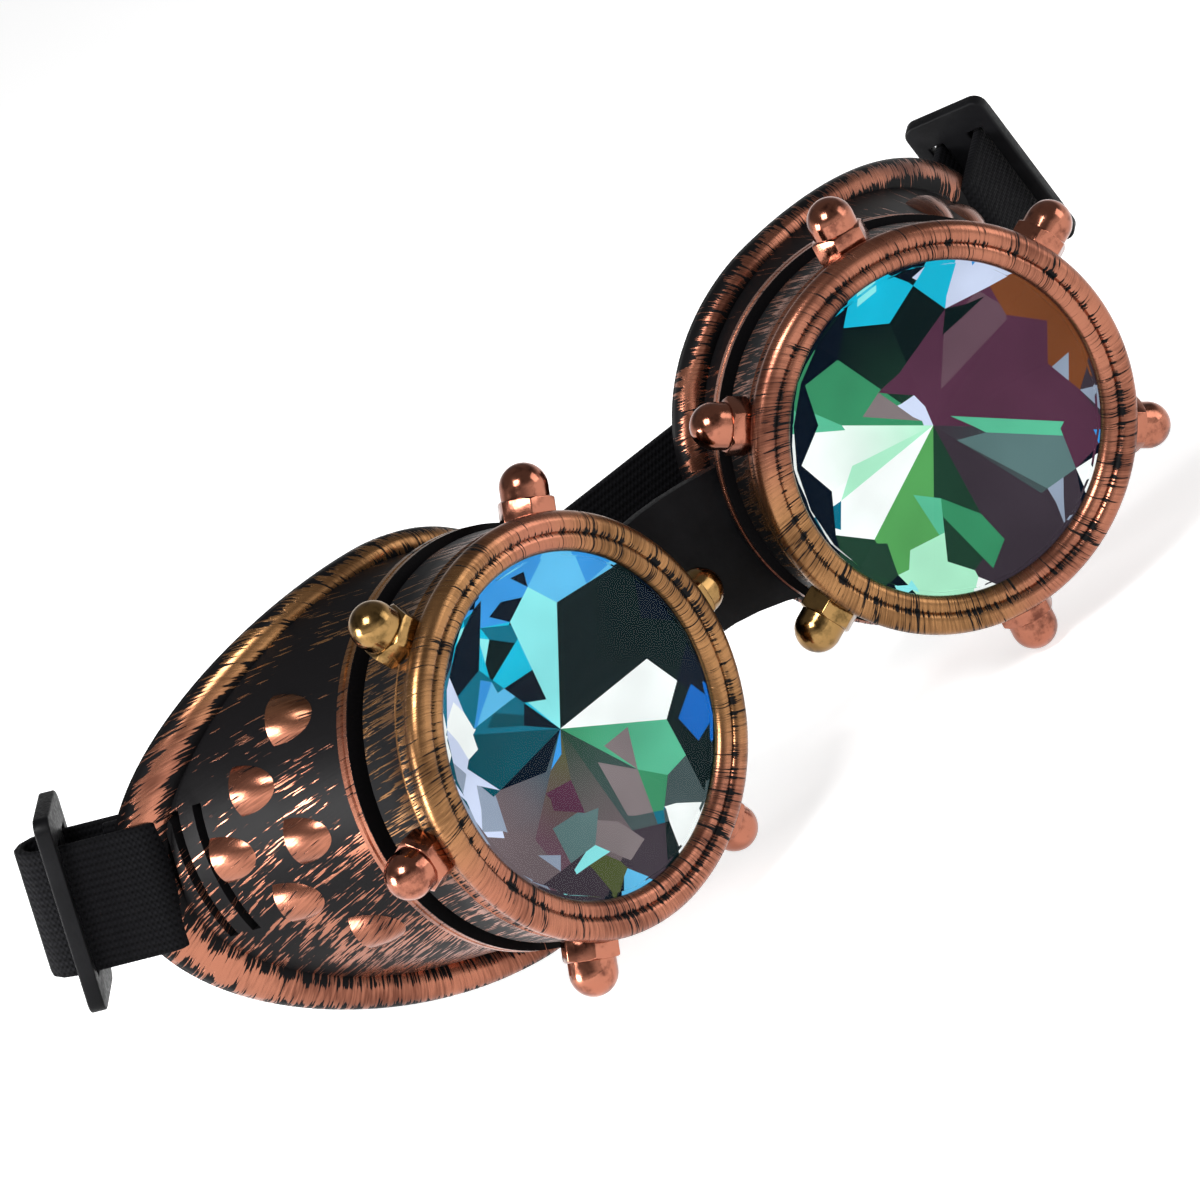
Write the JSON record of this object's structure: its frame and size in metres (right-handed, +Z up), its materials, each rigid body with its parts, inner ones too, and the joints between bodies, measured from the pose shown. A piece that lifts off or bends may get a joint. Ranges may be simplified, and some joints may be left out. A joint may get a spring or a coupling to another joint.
{
  "type": "steampunk goggles",
  "caption": "Steampunk goggles with vented flared eyecups, screw-on rings holding faceted kaleidoscope lenses, domed nuts, soft nose bridge and elastic head strap with sliders.",
  "frame": {"origin": "middle plane, at the height of the lens centres, on the plane where the brims meet the face beside the nose", "axes": "+X to the wearer's left, +Y from the lenses back to the face, +Z up"},
  "size_m": [0.1922, 0.0636, 0.0696],
  "materials": {
    "antiqued_cup": "black moulding dry-brushed with copper",
    "antiqued_ring": "dark grey skirt, copper lip brushed across",
    "domed_nut": "polished copper tone with dark recesses",
    "stud": "plain",
    "crystal": "cut facets with a rainbow coating behind",
    "seal": "matte",
    "slider": "satin black",
    "bridge": "semi-matte black",
    "strap": "black woven elastic"
  },
  "bodies": {
    "right_cup": {"right_eyecup": "antiqued_cup", "right_lens_seal": "seal", "nose_bridge": "bridge", "head_strap": "strap"},
    "left_cup": {"left_eyecup": "antiqued_cup", "left_lens_seal": "seal"},
    "right_lens": {"right_kaleidoscope_lens": "crystal"},
    "right_ring": {"right_lens_ring": "antiqued_ring", "right_acorn_nuts": "domed_nut", "right_nut_studs": "stud"},
    "right_slider": {"right_strap_slider": "slider"},
    "left_lens": {"left_kaleidoscope_lens": "crystal"},
    "left_ring": {"left_lens_ring": "antiqued_ring", "left_acorn_nuts": "domed_nut", "left_nut_studs": "stud"},
    "left_slider": {"left_strap_slider": "slider"}
  },
  "joints": [
    {"name": "nose_fold", "type": "hinge", "parent": "right_cup", "child": "left_cup", "pos_m": [0, -0.011, 0], "axis": [0, 0, 1], "range_deg": [-1, 30], "stiffness_Nm_per_rad": 0.5, "deforming": ["nose_bridge", "head_strap"]},
    {"name": "right_lens_out", "type": "slide", "parent": "right_cup", "child": "right_lens", "axis": [0.2164, -0.9763, 0], "range_m": [0, 0.004]},
    {"name": "right_ring_turn", "type": "hinge", "parent": "right_lens", "child": "right_ring", "pos_m": [-0.03385, -0.0376, 0], "axis": [0.2164, -0.9763, 0], "range_deg": [0, 720]},
    {"name": "right_slider_shift", "type": "slide", "parent": "right_cup", "child": "right_slider", "axis": [0.8117, -0.5193, -0.2672], "range_m": [0, 0.004]},
    {"name": "left_lens_out", "type": "slide", "parent": "left_cup", "child": "left_lens", "axis": [-0.2164, -0.9763, 0], "range_m": [0, 0.004]},
    {"name": "left_ring_turn", "type": "hinge", "parent": "left_lens", "child": "left_ring", "pos_m": [0.03385, -0.0376, 0], "axis": [-0.2164, -0.9763, 0], "range_deg": [0, 720]},
    {"name": "left_slider_shift", "type": "slide", "parent": "left_cup", "child": "left_slider", "axis": [-0.8117, -0.5193, -0.2672], "range_m": [0, 0.004]}
  ],
  "couplings": [
    {"joint": "right_lens_out", "follows": "right_ring_turn", "m_per_rad": 0.000318},
    {"joint": "left_lens_out", "follows": "left_ring_turn", "m_per_rad": 0.000318}
  ]
}
